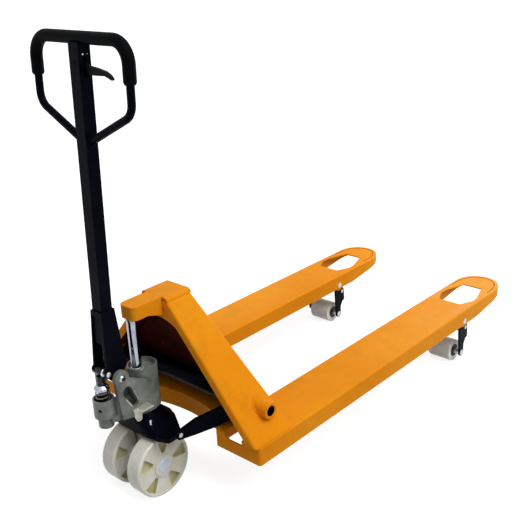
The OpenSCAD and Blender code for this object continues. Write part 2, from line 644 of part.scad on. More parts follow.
wheel_bearing_d = 47;
wheel_bearing_w = 14;
wheel_chamfer = 4;
pocket_depth = 15;
module wheel_pockets(y0, y1) translate([axle_x, 0, axle_z]) for (a = [0:72:288]) rotate([0, -a - 12, 0])
    plate_xz(y0, y1) polygon([[37, -5], [37, 5], [58, 13], [wheel_r - 12, 20], [wheel_r - 10, 0],
        [wheel_r - 12, -20], [58, -13]]);
module wheel() difference() {
    y1 = wheel_y + wheel_width;
    translate([axle_x, wheel_y, axle_z]) rotate([-90, 0, 0]) rotate_extrude()
        polygon([[wheel_bearing_d / 2 - 4.5, 0], [wheel_r - wheel_chamfer, 0], [wheel_r, wheel_chamfer],
            [wheel_r, wheel_width - wheel_chamfer], [wheel_r - wheel_chamfer, wheel_width],
            [wheel_bearing_d / 2 - 4.5, wheel_width]]);
    // Dished faces, and pockets between the five spokes
    for (y = [wheel_y - 1, y1 - 4]) difference() {
        bar_y(axle_x, axle_z, wheel_d - 18, y, y + 5);
        bar_y(axle_x, axle_z, wheel_bearing_d + 14, y - 1, y + 6);
    }
    wheel_pockets(y1 - pocket_depth, y1 + 1);
    wheel_pockets(wheel_y - 1, wheel_y + pocket_depth);
    bar_y(axle_x, axle_z, wheel_bearing_d + 2 * weld_fit, wheel_y + 2, y1 - 2);
}
module wheel_left() color("#d8d5c0") left() wheel();
module wheel_right() color("#d8d5c0") right() wheel();
module bearing_y(x, z, outer, inner, y0, y1) difference() {
    bar_y(x, z, outer, y0, y1);
    bar_y(x, z, inner + 2 * pin_fit, y0 - 1, y1 + 1);
}
module wheel_bearings() for (y = [wheel_y + 2, wheel_y + wheel_width - 2 - wheel_bearing_w])
    bearing_y(axle_x, axle_z, wheel_bearing_d, axle_d, y, y + wheel_bearing_w);
module wheel_bearings_left() color("gray") left() wheel_bearings();
module wheel_bearings_right() color("gray") right() wheel_bearings();
module hub_cap() {
    y1 = wheel_y + wheel_width;
    bar_y(axle_x, axle_z, wheel_bearing_d - 9.4, y1 - 1.8, y1 + 0.1);
    translate([axle_x, y1 + 0.05, axle_z]) rotate([-90, 0, 0]) cylinder(d1 = 40, d2 = 34, h = 3);
}
module hub_cap_left() color("#bec6d7") left() hub_cap();
module hub_cap_right() color("#bec6d7") right() hub_cap();

// ---- Drawbar, in its own frame: origin at the pivot, Z along the leaning tube
module drawbar_frame() place() translate([pivot_x, 0, pivot_z]) rotate([0, drawbar_lean, 0]) children();
yoke_overlap = 90;
tube_z = [(yoke_z[1] - pivot_z) - yoke_overlap, drawbar_length - loop_tube_d / 2 - weld_fit];
module drawbar_tube() color("#16161f") drawbar_frame() difference() {
    translate([shaft_off - drawbar_depth / 2, -drawbar_width / 2, tube_z[0]])
        cube([drawbar_depth, drawbar_width, tube_z[1] - tube_z[0]]);
    translate([shaft_off - drawbar_depth / 2 + drawbar_wall, -drawbar_width / 2 + drawbar_wall, tube_z[0] - 1])
        cube([drawbar_depth - 2 * drawbar_wall, drawbar_width - 2 * drawbar_wall, tube_z[1] - tube_z[0] - 4]);
    // Slot that the trigger comes out of
    translate([shaft_off - 5, -drawbar_width / 2 - 1, trigger_z - 35]) cube([10, drawbar_wall + 2, 46]);
    translate([shaft_off - drawbar_depth, 0, trigger_z]) rotate([0, 90, 0]) cylinder(d = 6 + 2 * weld_fit, h = 70);
}
module yoke() color("#16161f") place() difference() {
    union() {
        difference() {
            hull() {
                translate([pivot_x - 23, -21, yoke_z[1] - 1]) cube([42, 42, 1]);
                translate([pivot_x - 23, -21, yoke_z[1] - 50]) cube([42, 42, 1]);
                translate([pivot_x - 32, -29, yoke_z[0]]) cube([61, 58, 1]);
            }
            hull() {
                translate([pivot_x - 20, -17.7, yoke_z[1]]) cube([36, 35.4, 1]);
                translate([pivot_x - 21, -17.7, yoke_z[1] - 50]) cube([36, 35.4, 1]);
                translate([pivot_x - 60, -23, yoke_z[0] - 1]) cube([83, 46, 1]);
            }
        }
        for (s = [0, 1]) mirror([0, s, 0]) plate_xz(23, 29) {
            tapered_link([pivot_x, pivot_z], 17, [push_roller_x + 3, push_roller_z], 10);
            polygon([[pivot_x - 32, yoke_z[0] + 1], [pivot_x - 36, push_roller_z - 4], [pivot_x + 14, pivot_z + 2],
                [pivot_x + 29, yoke_z[0] + 1]]);
        }
    }
    bar_y(pivot_x, pivot_z, pivot_pin_d + 2 * pin_fit, -40, 40);
    bar_y(push_roller_x, push_roller_z, 10 + 2 * pin_fit, -40, 40);
}
module push_roller() color("silver") place() difference() {
    bar_y(push_roller_x, push_roller_z, push_roller_d, -9, 9);
    bar_y(push_roller_x, push_roller_z, 10 + 2 * pin_fit, -10, 10);
}
module push_roller_pin() color("silver") place() {
    bar_y(push_roller_x, push_roller_z, 10, -32, 30.5);
    bar_y(push_roller_x, push_roller_z, 15, -33, -29.3);
}

loop_y = loop_width / 2;
loop_corner_r = 50;
bend_corner_r = 40;
diagonal = atan(0.4854);
loop_elbow_drop = 157;
grip_drop = 92;
loop_elbow_z = drawbar_length - loop_elbow_drop;
grip_end_z = drawbar_length - grip_drop;
// Centre line of the handle loop, one half from the drawbar's side to the middle of the top bar, as [y, z]
loop_corner_z = drawbar_length - loop_corner_r;
elbow_cut = bend_corner_r * tan((90 - diagonal) / 2);
elbow_centre = [loop_y - bend_corner_r, loop_elbow_z + elbow_cut];
tube_side_y = drawbar_width / 2 + weld_fit;
function arc_points(centre, r, a0, a1, n) = [for (i = [0:n]) let(a = a0 + (a1 - a0) * i / n)
    centre + r * [cos(a), sin(a)]];
loop_side = concat(
    [[tube_side_y, loop_elbow_z - (loop_y - tube_side_y) * tan(diagonal)]],
    arc_points(elbow_centre, bend_corner_r, diagonal - 90, 0, 7),
    arc_points([loop_y - loop_corner_r, loop_corner_z], loop_corner_r, 0, 90, 9));
loop_path = concat(loop_side, [for (i = [len(loop_side) - 1:-1:0]) [-loop_side[i][0], loop_side[i][1]]]);
function path_side(path, i) = let(
        last = len(path) - 1,
        d = path[min(i + 1, last)] - path[max(i - 1, 0)])
    i == 0 || i == last ? [0, -1 / cos(diagonal)] : [d[1], -d[0]] / norm(d);
// A round bar swept along a path in the Y-Z plane
module bent_bar(path, r, sides) {
    n = len(path);
    polyhedron(
        points = [for (i = [0:n - 1]) for (k = [0:sides - 1]) let(
            a = 360 * k / sides,
            q = path[i] + r * cos(a) * path_side(path, i)) [r * sin(a), q[0], q[1]]],
        faces = concat([[for (k = [sides - 1:-1:0]) k]],
            [for (i = [0:n - 2]) for (k = [0:sides - 1]) let(m = (k + 1) % sides)
                [i * sides + k, i * sides + m, (i + 1) * sides + m, (i + 1) * sides + k]],
            [[for (k = [0:sides - 1]) (n - 1) * sides + k]]));
}
// One half of the round sleeve over the top bar and its corner
module sleeve_half(d, z_end) {
    translate([0, 0, drawbar_length]) rotate([-90, 0, 0]) cylinder(d = d, h = loop_y - loop_corner_r);
    translate([0, loop_y - loop_corner_r, loop_corner_z]) rotate([0, -90, 0]) rotate_extrude(angle = 90)
        translate([loop_corner_r, 0]) circle(d = d);
    translate([0, loop_y, z_end]) cylinder(d = d, h = loop_corner_z - z_end);
}

module tube_space() translate([shaft_off - drawbar_depth / 2 - weld_fit, -drawbar_width / 2 - weld_fit, 0])
    cube([drawbar_depth + 2 * weld_fit, drawbar_width + 2 * weld_fit, tube_z[1]]);
module handle_loop() color("#16161f") drawbar_frame() translate([shaft_off, 0, 0])
    bent_bar(loop_path, loop_tube_d / 2, 20);
module grip() color("#101014") drawbar_frame() difference() {
    translate([shaft_off, 0, 0]) for (s = [0, 1]) mirror([0, s, 0]) difference() {
        sleeve_half(grip_d, grip_end_z);
        sleeve_half(loop_tube_d + 0.5, grip_end_z - 1);
    }
    tube_space();
}

// Hand trigger in the loop, and the rod it pushes down the tube
rod_hook_y = drawbar_width / 2 - drawbar_wall - 3.5;
module trigger() color("#101014") drawbar_frame() translate([shaft_off, 0, trigger_z]) difference() {
    union() {
        rotate([0, 90, 0]) cylinder(d = 16, h = 8, center = true);
        plate_yz(-4, 4) polygon([[3, 6.5], [-17, 0], [-36, -8], [-63, -11], [-91, -16], [-106, -23], [-115, -31],
            [-113, -35], [-104, -32], [-90, -27], [-61, -28], [-36, -28], [-17, -24], [0, -7.2],
            [rod_hook_y + 1, -7], [rod_hook_y + 1, -2], [3, 4]]);
    }
    rotate([0, 90, 0]) cylinder(d = 6 + 2 * pin_fit, h = 20, center = true);
}
module trigger_pin() color("silver") drawbar_frame() translate([shaft_off - drawbar_depth / 2 - 1, 0, trigger_z])
    rotate([0, 90, 0]) cylinder(d = 6, h = drawbar_depth + 2);
module control_rod() color("silver") drawbar_frame() translate([shaft_off, rod_hook_y, 24])
    cylinder(d = 5, h = trigger_z - 8.3 - 24);

// ---- Roller links, load rollers and push rods
module on_fork() translate([0, fork_y, 0]) children();
module both_sides(y0, y1) for (s = [0, 1]) mirror([0, s, 0]) plate_xz(y0, y1) children();
rod_pin_d = 13;
module link_outline() {
    pivot = [link_pivot_x, link_pivot_z];
    rod_pin = [rod_pin_x, rod_pin_z];
    toe = [link_pivot_x + 34, link_pivot_z - 70];
    tapered_link(pivot, 15, [link_foot_x, link_foot_z], 13);
    tapered_link(pivot, 15, rod_pin, 12);
    tapered_link(rod_pin, 12, toe, 6);
    polygon([pivot, rod_pin, toe, [link_foot_x, link_foot_z + 8]]);
}
module link() on_fork() difference() {
    both_sides(link_y, link_y + link_t) link_outline();
    bar_y(link_pivot_x, link_pivot_z, link_pin_d + 2 * pin_fit, -fork_half, fork_half);
    bar_y(link_foot_x, link_foot_z, link_pin_d + 2 * pin_fit, -fork_half, fork_half);
    bar_y(rod_pin_x, rod_pin_z, rod_pin_d + 2 * pin_fit, -fork_half, fork_half);
}
module link_pins() on_fork() {
    end = link_y + link_t + 0.8;
    bar_y(rod_pin_x, rod_pin_z, rod_pin_d, -end, end);
    bar_y(link_foot_x, link_foot_z, link_pin_d, -end, end);
    for (s = [0, 1]) mirror([0, s, 0]) bar_y(link_pivot_x, link_pivot_z, link_pin_d, link_y - 2, fork_half - 0.5);
}
roller_bearing_d = 42;
module load_roller() on_fork() difference() {
    bar_y(link_foot_x, link_foot_z, roller_d, -roller_length / 2, roller_length / 2);
    bar_y(link_foot_x, link_foot_z, roller_bearing_d + 2 * weld_fit, -fork_half, fork_half);
}
module roller_bearings() on_fork() for (s = [0, 1]) mirror([0, s, 0])
    bearing_y(link_foot_x, link_foot_z, roller_bearing_d, link_pin_d, roller_length / 2 - 14, roller_length / 2 + 1);

fork_arm_x = link_pivot_x - 232;
jaw_half = 9;
module push_rod() {
    bar = [lug_y[0], lug_y[1]];
    arm_y = [46, 54];
    top = lug_end_z + 2;
    low = top - 20;
    eye_x = lug_end_x + pin_hub_r + side_gap + 10;
    difference() {
        union() {
            for (y = [lug_y[0] - side_gap - cheek_t, lug_y[1] + side_gap]) plate_xz(y, y + cheek_t) {
                translate([lug_end_x, lug_end_z]) circle(pin_hub_r);
                translate([lug_end_x, low]) square([eye_x + 20 - lug_end_x, 20]);
            }
            translate([eye_x + 12, lug_y[0] - side_gap - 1, low]) cube([12, lug_t + 2 * side_gap + 2, 20]);
            translate([eye_x + 18, bar[0], low]) cube([fork_arm_x - eye_x - 10, lug_t, 20]);
            on_fork() {
                translate([fork_arm_x - 10, -arm_y[1], low]) cube([14, 2 * arm_y[1], 20]);
                both_sides(arm_y[0], arm_y[1]) {
                    translate([fork_arm_x - 10, low]) square([rod_pin_x - fork_arm_x + 10, 20]);
                    polygon([[rod_pin_x - 30, low + 1], [rod_pin_x - 19, rod_pin_z + 12], [rod_pin_x - 19, rod_pin_z - 9],
                        [rod_pin_x + 16, rod_pin_z - 9], [rod_pin_x + 16, rod_pin_z + 24], [rod_pin_x, top]]);
                }
            }
        }
        bar_y(lug_end_x, lug_end_z, clevis_pin_d + 2 * pin_fit, 0, overall_width);
        // Open jaw that stays clear of the link pin as its height changes over the stroke
        on_fork() plate_xz(-fork_half, fork_half) {
            translate([rod_pin_x - jaw_half - 2, rod_pin_z - 20]) square([2 * jaw_half, 20]);
            translate([rod_pin_x - 2, rod_pin_z]) circle(jaw_half);
        }
    }
}
module link_left() color("#16161f") left() link();
module link_right() color("#16161f") right() link();
module link_pins_left() color("gray") left() link_pins();
module link_pins_right() color("gray") right() link_pins();
module load_roller_left() color("#aaa596") left() load_roller();
module load_roller_right() color("#aaa596") right() load_roller();
module roller_bearings_left() color("#202020") left() roller_bearings();
module roller_bearings_right() color("#202020") right() roller_bearings();
module push_rod_left() color("#16161f") left() push_rod();
module push_rod_right() color("#16161f") right() push_rod();

fork_left();
fork_right();
leg_left();
leg_right();
head_plate();
horn();
front_gusset();
back_plate();
cross_plate();
pivot_boss_left();
pivot_boss_right();
thrust_pad();
rocker_shaft();
rocker_tube();
rocker_arm_left();
rocker_arm_right();
rocker_lug_left();
rocker_lug_right();
push_rod_pins();
seat_plate();
seat_pins();
grease_nipple();
thrust_bearing();
pump_casting();
gland_ring();
axle_carrier();
steer_axle();
release_lever_pin();
drawbar_pivot_pin();
piston_rod();
plunger();
spring_cap();
plunger_spring();
release_lever();
drawbar_tube();
yoke();
handle_loop();
grip();
push_roller();
push_roller_pin();
trigger_pin();
trigger();
control_rod();
wheel_left();
wheel_right();
wheel_bearings_left();
wheel_bearings_right();
hub_cap_left();
hub_cap_right();
push_rod_left();
push_rod_right();
link_left();
link_right();
link_pins_left();
link_pins_right();
load_roller_left();
load_roller_right();
roller_bearings_left();
roller_bearings_right();
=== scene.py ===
# Hand pallet jack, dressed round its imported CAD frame. Lengths are in metres.
import json
import math
import bmesh
import bpy
from mathutils import Matrix, Vector


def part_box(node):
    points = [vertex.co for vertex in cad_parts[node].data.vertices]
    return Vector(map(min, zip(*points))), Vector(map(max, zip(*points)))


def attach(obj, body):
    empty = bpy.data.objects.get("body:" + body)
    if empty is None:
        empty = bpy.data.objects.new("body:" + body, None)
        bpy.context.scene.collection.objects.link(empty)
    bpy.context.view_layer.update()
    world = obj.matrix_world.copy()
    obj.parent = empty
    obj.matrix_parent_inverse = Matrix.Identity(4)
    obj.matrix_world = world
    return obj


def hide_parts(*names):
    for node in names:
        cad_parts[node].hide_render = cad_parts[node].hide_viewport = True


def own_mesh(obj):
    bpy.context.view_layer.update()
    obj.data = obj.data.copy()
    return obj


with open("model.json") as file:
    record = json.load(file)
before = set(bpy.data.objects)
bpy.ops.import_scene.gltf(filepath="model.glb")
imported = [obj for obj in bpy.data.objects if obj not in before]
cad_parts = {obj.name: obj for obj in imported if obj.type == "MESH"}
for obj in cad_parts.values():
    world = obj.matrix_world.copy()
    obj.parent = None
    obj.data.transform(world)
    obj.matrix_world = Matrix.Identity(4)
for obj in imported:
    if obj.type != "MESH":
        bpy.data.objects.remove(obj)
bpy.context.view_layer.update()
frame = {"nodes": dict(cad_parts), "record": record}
cadNodes = frame["nodes"]
record = frame["record"]
bodyOf = {node: body for body, nodes in record["behaviour"]["bodies"].items() for node in nodes}
slotOf = {row["node"]: row["material_slot"] for row in record["subparts"]}
scene = bpy.context.scene
print("frame loaded,", len(cadNodes), "nodes")


def linear(hexColour):
    # sRGB hex to the linear colour that shaders take
    def channel(c):
        return c / 12.92 if c <= 0.04045 else ((c + 0.055) / 1.055) ** 2.4
    return tuple(channel(int(hexColour[i:i + 2], 16) / 255) for i in (1, 3, 5)) + (1.0,)


def addNode(tree, kind, inputs=None, stops=None, **settings):
    # One node with its settings; an input is a value or a socket to link from, and a ramp's first two stops
    # are its ends
    node = tree.nodes.new(kind)
    for name, value in settings.items():
        setattr(node, name, value)
    for name, value in (inputs or {}).items():
        if isinstance(value, bpy.types.NodeSocket):
            tree.links.new(value, node.inputs[name])
        else:
            node.inputs[name].default_value = value
    for index, (position, value) in enumerate(stops or ()):
        elements = node.color_ramp.elements
        element = elements[index] if index < len(elements) else elements.new(position)
        element.position = position
        element.color = linear(value) if isinstance(value, str) else (value, value, value, 1.0)
    return node


def startMaterial(name, **shaderValues):
    # A principled shader with its plain values, and the object's own coordinates
    material = bpy.data.materials.new(name)
    material.use_nodes = True
    tree = material.node_tree
    shader = tree.nodes["Principled BSDF"]
    for key, value in shaderValues.items():
        shader.inputs[key.replace("_", " ")].default_value = value
    return material, tree, shader, addNode(tree, "ShaderNodeTexCoord").outputs["Object"]


def powderCoat(name, look):
    # Polyester powder coat on welded steel: even semi-gloss colour in cloudy patches, fine scuffs and dust,
    # and an orange peel whose ripples are about 2 mm apart
    material, tree, shader, place = startMaterial(name, Roughness=look["roughness"],
                                                  Specular_IOR_Level=look["specular"],
                                                  Specular_Tint=linear(look["sheen"]))
    cloud = addNode(tree, "ShaderNodeTexNoise",
                    {"Vector": place, "Scale": 1 / look["cloudSize"], "Detail": 4.0})
    base = addNode(tree, "ShaderNodeValToRGB", {"Fac": cloud.outputs["Fac"]},
                   [(0.32, look["deep"]), (0.72, look["light"]), (0.52, look["colour"])])
    drag = addNode(tree, "ShaderNodeMapping", {"Vector": place, "Scale": look["scuffStretch"]})
    scuffs = addNode(tree, "ShaderNodeTexNoise",
                     {"Vector": drag.outputs["Vector"], "Scale": 1 / look["scuffSize"], "Detail": 6.0,
                      "Roughness": 0.68})
    scuffMask = addNode(tree, "ShaderNodeValToRGB", {"Fac": scuffs.outputs["Fac"]},
                        [(0.60, 0.0), (0.70, look["scuffAmount"])])
    scuffed = addNode(tree, "ShaderNodeMix",
                      {0: scuffMask.outputs["Color"], 6: base.outputs["Color"], 7: linear(look["scuff"])},
                      data_type="RGBA")
    dust = addNode(tree, "ShaderNodeTexNoise",
                   {"Vector": place, "Scale": 1 / look["grimeSize"], "Detail": 7.0, "Roughness": 0.7})
    dustMask = addNode(tree, "ShaderNodeValToRGB", {"Fac": dust.outputs["Fac"]},
                       [(0.54, 0.0), (0.74, look["grimeAmount"])])
    dusty = addNode(tree, "ShaderNodeMix",
                    {0: dustMask.outputs["Color"], 6: scuffed.outputs[2], 7: linear(look["grime"])},
                    data_type="RGBA")
    tree.links.new(dusty.outputs[2], shader.inputs["Base Color"])
    gloss = addNode(tree, "ShaderNodeMapRange",
                    {"Value": scuffs.outputs["Fac"], "From Min": 0.35, "From Max": 0.72,
                     "To Min": look["roughness"], "To Max": look["roughness"] + 0.18})
    tree.links.new(gloss.outputs["Result"], shader.inputs["Roughness"])
    peel = addNode(tree, "ShaderNodeTexNoise",
                   {"Vector": place, "Scale": 1 / look["peelSize"], "Detail": 2.0})
    skin = addNode(tree, "ShaderNodeBump",
                   {"Height": peel.outputs["Fac"], "Distance": look["peelDepth"], "Strength": 0.6})
    tree.links.new(skin.outputs["Normal"], shader.inputs["Normal"])
    return material


orangeCoat = {
    "colour": "#E98F12", "deep": "#E0850B", "light": "#F09B1E", "scuff": "#F4B24A", "grime": "#8E5512",
    "roughness": 0.36, "specular": 0.05, "sheen": "#FFE6B8", "cloudSize": 0.45, "scuffSize": 0.05,
    "scuffStretch": (0.25, 1.6, 1), "scuffAmount": 0.3, "grimeSize": 0.12, "grimeAmount": 0.22,
    "peelSize": 0.0022, "peelDepth": 0.00012}
orangePaint = powderCoat("powder_coat_orange", orangeCoat)
# Painted shade: a darker orange for the seam round each toe, standing in for the shade of the groove there
seamShadePaint = powderCoat("seam_coat_painted_shade", {
    **orangeCoat, "colour": "#B4690C", "deep": "#9C5808", "light": "#C67A14", "scuff": "#D8962E",
    "grime": "#6A3C0C", "roughness": 0.45, "cloudSize": 0.1, "scuffSize": 0.03, "scuffStretch": (1, 1, 1),
    "grimeSize": 0.03, "grimeAmount": 0.5})
# Painted shade: a dark red-brown orange for the inner sides, where little light reaches
innerShadePaint = powderCoat("inner_coat_painted_shade", {
    "colour": "#4A1605", "deep": "#2C0B03", "light": "#6B2606", "scuff": "#8A3A0C", "grime": "#140603",
    "roughness": 0.6, "specular": 0.05, "sheen": "#FFD8C0", "cloudSize": 0.16, "scuffSize": 0.03,
    "scuffStretch": (1, 1, 1), "scuffAmount": 0.4, "grimeSize": 0.09, "grimeAmount": 0.6,
    "peelSize": 0.003, "peelDepth": 0.0002})
blackPaint = powderCoat("powder_coat_black", {
    "colour": "#05060C", "deep": "#030408", "light": "#090A12", "scuff": "#15161E", "grime": "#13110F",
    "roughness": 0.28, "specular": 0.03, "sheen": "#A8B0FF", "cloudSize": 0.2, "scuffSize": 0.02,
    "scuffStretch": (1, 1, 0.4), "scuffAmount": 0.3, "grimeSize": 0.08, "grimeAmount": 0.2,
    "peelSize": 0.002, "peelDepth": 0.00012})


def castEnamel(name, look):
    # Grey-green enamel on a sand casting: the mould's grain shows through, and oil darkens it in patches
    material, tree, shader, place = startMaterial(name, Roughness=look["roughness"],
                                                  Specular_IOR_Level=look["specular"])
    cloud = addNode(tree, "ShaderNodeTexNoise",
                    {"Vector": place, "Scale": 1 / look["cloudSize"], "Detail": 5.0})
    base = addNode(tree, "ShaderNodeValToRGB", {"Fac": cloud.outputs["Fac"]},
                   [(0.3, look["deep"]), (0.74, look["light"]), (0.52, look["colour"])])
    oil = addNode(tree, "ShaderNodeTexNoise",
                  {"Vector": place, "Scale": 1 / look["oilSize"], "Detail": 4.0})
    oilMask = addNode(tree, "ShaderNodeValToRGB", {"Fac": oil.outputs["Fac"]},
                      [(0.56, 0.0), (0.76, look["oilAmount"])])
    oily = addNode(tree, "ShaderNodeMix",
                   {0: oilMask.outputs["Color"], 6: base.outputs["Color"], 7: linear(look["oil"])},
                   data_type="RGBA")
    tree.links.new(oily.outputs[2], shader.inputs["Base Color"])
    gloss = addNode(tree, "ShaderNodeMapRange",
                    {"Value": oilMask.outputs["Color"], "To Min": look["roughness"],
                     "To Max": look["oilRoughness"]})
    tree.links.new(gloss.outputs["Result"], shader.inputs["Roughness"])
    grain = addNode(tree, "ShaderNodeTexNoise",
                    {"Vector": place, "Scale": 1 / look["grainSize"], "Detail": 4.0, "Roughness": 0.7})
    skin = addNode(tree, "ShaderNodeBump", {"Height": grain.outputs["Fac"], "Distance": look["grainDepth"]})
    tree.links.new(skin.outputs["Normal"], shader.inputs["Normal"])
    return material


# Sand grain is 0.3 mm; it is drawn at 3 mm to show
pumpPaint = castEnamel("enamelled_cast_iron", {
    "colour": "#70756E", "deep": "#535850", "light": "#90958E", "oil": "#383B34", "oilAmount": 0.5,
    "roughness": 0.36, "oilRoughness": 0.28, "specular": 0.5, "cloudSize": 0.05, "oilSize": 0.06,
    "grainSize": 0.003, "grainDepth": 0.0005})


def machinedMetal(name, look):
    # Steel as a lathe, a mill or a plating bath leaves it, with patches that hands have dulled;
    # tool lines are 0.1 to 0.2 mm apart, and are drawn at 1 to 4 mm to show
    material, tree, shader, place = startMaterial(name, Metallic=1.0, Roughness=look["roughness"])
    patch = addNode(tree, "ShaderNodeTexNoise",
                    {"Vector": place, "Scale": 1 / look["patchSize"], "Detail": 4.0})
    base = addNode(tree, "ShaderNodeValToRGB", {"Fac": patch.outputs["Fac"]},
                   [(0.3, look["deep"]), (0.62, look["colour"])])
    tree.links.new(base.outputs["Color"], shader.inputs["Base Color"])
    gloss = addNode(tree, "ShaderNodeMapRange",
                    {"Value": patch.outputs["Fac"], "From Min": 0.3, "From Max": 0.7,
                     "To Min": look["roughness"] + look["roughSpread"], "To Max": look["roughness"]})
    tree.links.new(gloss.outputs["Result"], shader.inputs["Roughness"])
    drag = addNode(tree, "ShaderNodeMapping", {"Vector": place, "Scale": look["lineStretch"]})
    lines = addNode(tree, "ShaderNodeTexNoise",
                    {"Vector": drag.outputs["Vector"], "Scale": 1 / look["lineSize"]})
    skin = addNode(tree, "ShaderNodeBump",
                   {"Height": lines.outputs["Fac"], "Distance": look["lineDepth"], "Strength": 0.5})
    tree.links.new(skin.outputs["Normal"], shader.inputs["Normal"])
    return material


chromePlate = machinedMetal("hard_chrome_plate", {
    "colour": "#A9AEBA", "deep": "#8F94A0", "roughness": 0.09, "roughSpread": 0.06, "patchSize": 0.02,
    "lineSize": 0.004, "lineStretch": (1, 1, 6), "lineDepth": 0.00002})
zincPlate = machinedMetal("bright_zinc_plate", {
    "colour": "#C3C7C6", "deep": "#9EA3A3", "roughness": 0.24, "roughSpread": 0.14, "patchSize": 0.012,
    "lineSize": 0.002, "lineStretch": (1, 1, 4), "lineDepth": 0.00004})
bareSteel = machinedMetal("turned_bare_steel", {
    "colour": "#9C9D94", "deep": "#72736B", "roughness": 0.32, "roughSpread": 0.16, "patchSize": 0.02,
    "lineSize": 0.0015, "lineStretch": (1, 6, 1), "lineDepth": 0.00005})
springSteel = machinedMetal("oil_tempered_spring_wire", {
    "colour": "#83827C", "deep": "#4C4A45", "roughness": 0.3, "roughSpread": 0.14, "patchSize": 0.006,
    "lineSize": 0.001, "lineStretch": (1, 1, 1), "lineDepth": 0.00003})
# The gland and the pressed lever keep a satin face that scatters the light
satinSteel = machinedMetal("satin_turned_steel", {
    "colour": "#DFE0D2", "deep": "#B9BBAD", "roughness": 0.5, "roughSpread": 0.12, "patchSize": 0.01,
    "lineSize": 0.0015, "lineStretch": (1, 1, 6), "lineDepth": 0.00005})
oiledSteel = machinedMetal("oil_blackened_steel", {
    "colour": "#3A3B3E", "deep": "#1A1B1D", "roughness": 0.3, "roughSpread": 0.2, "patchSize": 0.008,
    "lineSize": 0.0015, "lineStretch": (1, 6, 1), "lineDepth": 0.00005})
darkBore = machinedMetal("greased_bore", {
    "colour": "#16130F", "deep": "#0A0807", "roughness": 0.5, "roughSpread": 0.2, "patchSize": 0.01,
    "lineSize": 0.0015, "lineStretch": (1, 6, 1), "lineDepth": 0.0001})


def mouldedPolymer(name, look):
    # Moulded, cast or turned polymer: one body colour with faint clouding, and dirt in scattered specks;
    # its fine skin or its turning lines are drawn at 1 to 3 mm to show
    material, tree, shader, place = startMaterial(name, Roughness=look["roughness"],
                                                  Specular_IOR_Level=look.get("specular", 0.5),
                                                  Subsurface_Weight=look.get("glow", 0.0),
                                                  Subsurface_Scale=0.004)
    cloud = addNode(tree, "ShaderNodeTexNoise",
                    {"Vector": place, "Scale": 1 / look["cloudSize"], "Detail": 4.0})
    base = addNode(tree, "ShaderNodeValToRGB", {"Fac": cloud.outputs["Fac"]},
                   [(0.3, look["deep"]), (0.65, look["colour"])])
    specks = addNode(tree, "ShaderNodeTexNoise",
                     {"Vector": place, "Scale": 1 / look["dirtSize"], "Detail": 6.0, "Roughness": 0.7})
    dirtMask = addNode(tree, "ShaderNodeValToRGB", {"Fac": specks.outputs["Fac"]},
                       [(0.55, 0.0), (0.76, look["dirtAmount"])])
    dirty = addNode(tree, "ShaderNodeMix",
                    {0: dirtMask.outputs["Color"], 6: base.outputs["Color"], 7: linear(look["dirt"])},
                    data_type="RGBA")
    tree.links.new(dirty.outputs[2], shader.inputs["Base Color"])
    drag = addNode(tree, "ShaderNodeMapping",
                   {"Vector": place, "Scale": look.get("skinStretch", (1, 1, 1))})
    grain = addNode(tree, "ShaderNodeTexNoise",
                    {"Vector": drag.outputs["Vector"], "Scale": 1 / look["skinSize"], "Detail": 3.0})
    skin = addNode(tree, "ShaderNodeBump",
                   {"Height": grain.outputs["Fac"], "Distance": look["skinDepth"], "Strength": 0.6})
    tree.links.new(skin.outputs["Normal"], shader.inputs["Normal"])
    return material


wheelNylon = mouldedPolymer("cast_nylon_cream", {
    "colour": "#E0DED3", "deep": "#D2CFBF", "dirt": "#8B8468", "dirtAmount": 0.22, "roughness": 0.36,
    "glow": 0.1, "cloudSize": 0.05, "dirtSize": 0.03, "skinSize": 0.0015, "skinStretch": (1, 5, 1),
    "skinDepth": 0.00008})
# The pockets were never turned, so they keep the yellower cast skin; they are also painted darker, as painted
# shade in the recess
pocketShadeNylon = mouldedPolymer("cast_nylon_pocket_painted_shade", {
    "colour": "#CBC69F", "deep": "#B8B184", "dirt": "#7C7650", "dirtAmount": 0.3, "roughness": 0.5,
    "glow": 0.1, "cloudSize": 0.04, "dirtSize": 0.02, "skinSize": 0.003, "skinDepth": 0.0002})
hubPlastic = mouldedPolymer("moulded_hub_plastic", {
    "colour": "#D2DCE9", "deep": "#C2CCDA", "dirt": "#8C8F98", "dirtAmount": 0.2, "roughness": 0.32,
    "cloudSize": 0.03, "dirtSize": 0.02, "skinSize": 0.002, "skinDepth": 0.00005})
rollerNylon = mouldedPolymer("turned_roller_nylon", {
    "colour": "#EDEEE8", "deep": "#DEDDD2", "dirt": "#8A8674", "dirtAmount": 0.3, "roughness": 0.42,
    "cloudSize": 0.02, "dirtSize": 0.015, "skinSize": 0.0012, "skinStretch": (1, 4, 1), "skinDepth": 0.0001})
gripRubber = mouldedPolymer("dipped_grip_rubber", {
    "colour": "#050608", "deep": "#030405", "dirt": "#111112", "dirtAmount": 0.3, "roughness": 0.5,
    "specular": 0.025, "cloudSize": 0.04, "dirtSize": 0.02, "skinSize": 0.0025, "skinDepth": 0.0002})
triggerPlastic = mouldedPolymer("moulded_trigger_nylon", {
    "colour": "#06070A", "deep": "#040506", "dirt": "#141416", "dirtAmount": 0.25, "roughness": 0.4,
    "specular": 0.05, "cloudSize": 0.03, "dirtSize": 0.02, "skinSize": 0.0015, "skinDepth": 0.0001})
sealRubber = mouldedPolymer("moulded_seal_rubber", {
    "colour": "#131416", "deep": "#0D0E0F", "dirt": "#33312C", "dirtAmount": 0.4, "roughness": 0.6,
    "specular": 0.3, "cloudSize": 0.02, "dirtSize": 0.01, "skinSize": 0.002, "skinDepth": 0.0001})

